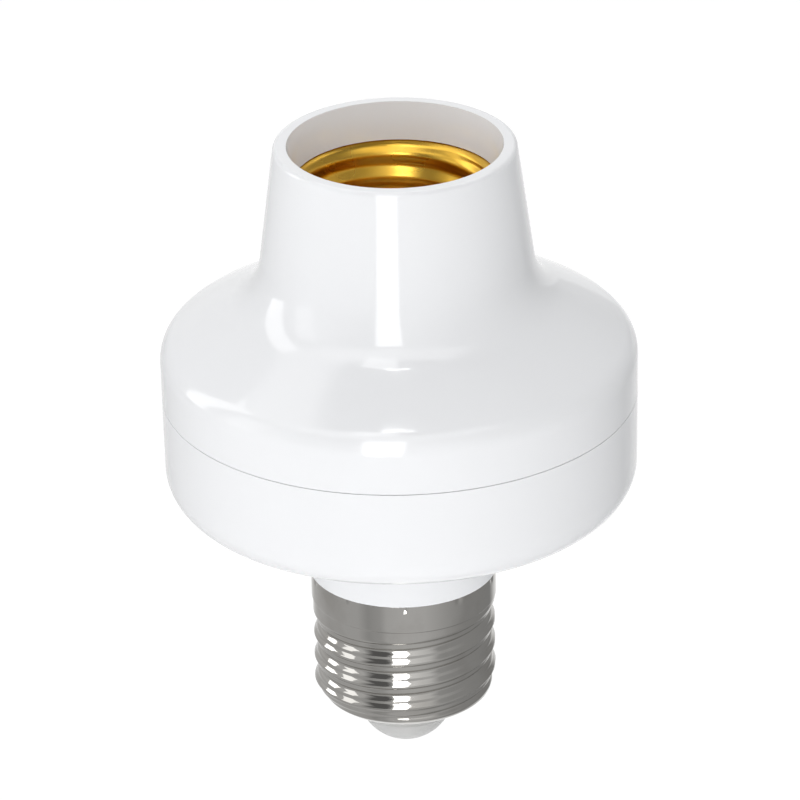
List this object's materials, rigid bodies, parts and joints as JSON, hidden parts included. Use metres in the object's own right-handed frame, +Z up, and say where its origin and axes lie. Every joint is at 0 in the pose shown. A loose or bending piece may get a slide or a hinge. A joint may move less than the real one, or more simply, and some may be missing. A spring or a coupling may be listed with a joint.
{
  "type": "lamp socket adapter",
  "caption": "Round white lamp adapter: a screw cap below fits a lampholder, and a tapered neck above holds a threaded brass socket for a bulb.",
  "frame": {"origin": "lowest point of the tip contact, on the lamp axis", "axes": "+Z up along the lamp axis, from the screw cap to the mouth of the socket; the pictured side faces -Y"},
  "size_m": [0.0676, 0.0676, 0.0936],
  "materials": {
    "cover_abs": "glossy moulded white ABS, faintly cool",
    "nickel_plate": "rolled sheet, bright nickel plate",
    "nose_plastic": "white moulded plastic, satin",
    "tip_metal": "tinned brass rivet",
    "bright_brass": "drawn brass sheet, bright",
    "spring_steel": "drawn spring wire",
    "base_plastic": "heat-proof moulded plastic, off-white",
    "board_laminate": "green glass-fibre laminate",
    "chip_epoxy": "black moulded epoxy",
    "relay_case": "blue moulded case",
    "film_capacitor_case": "yellow moulded case",
    "can_sleeve": "dark shrink sleeve over aluminium",
    "surge_coating": "blue dipped coating",
    "resistor_body": "grey-green coated body",
    "screw_steel": "zinc-plated steel",
    "lead_red": "red insulation",
    "lead_white": "white insulation",
    "copper_wire": "enamelled copper wire"
  },
  "bodies": {
    "adapter": {"upper_cover": "cover_abs", "lower_housing": "cover_abs", "screw_cap": "nickel_plate", "cap_nose": "nose_plastic", "tip_contact": "tip_metal", "tip_lead": "lead_red", "cap_lead": "lead_white", "socket_shell": "bright_brass", "socket_base": "base_plastic", "contact_spring": "spring_steel", "contact_strip": "bright_brass", "shell_rivets": "bright_brass", "base_screws": "screw_steel", "board_screws": "screw_steel", "live_lead": "lead_red", "return_lead": "lead_white", "circuit_board": "board_laminate", "relay": "relay_case", "dropper_capacitor": "film_capacitor_case", "smoothing_capacitor": "can_sleeve", "bridge_rectifier": "chip_epoxy", "surge_disc": "surge_coating", "fuse_resistor": "resistor_body", "receiver_module": "board_laminate", "control_chip": "chip_epoxy", "antenna_wire": "copper_wire"},
    "plunger": {"centre_contact": "bright_brass"}
  },
  "joints": [
    {"name": "contact_press", "type": "slide", "parent": "adapter", "child": "plunger", "axis": [0, 0, -1], "range_m": [0, 0.002], "stiffness_N_per_m": 1500, "springref_m": -0.002, "deforming": ["contact_spring"]}
  ]
}
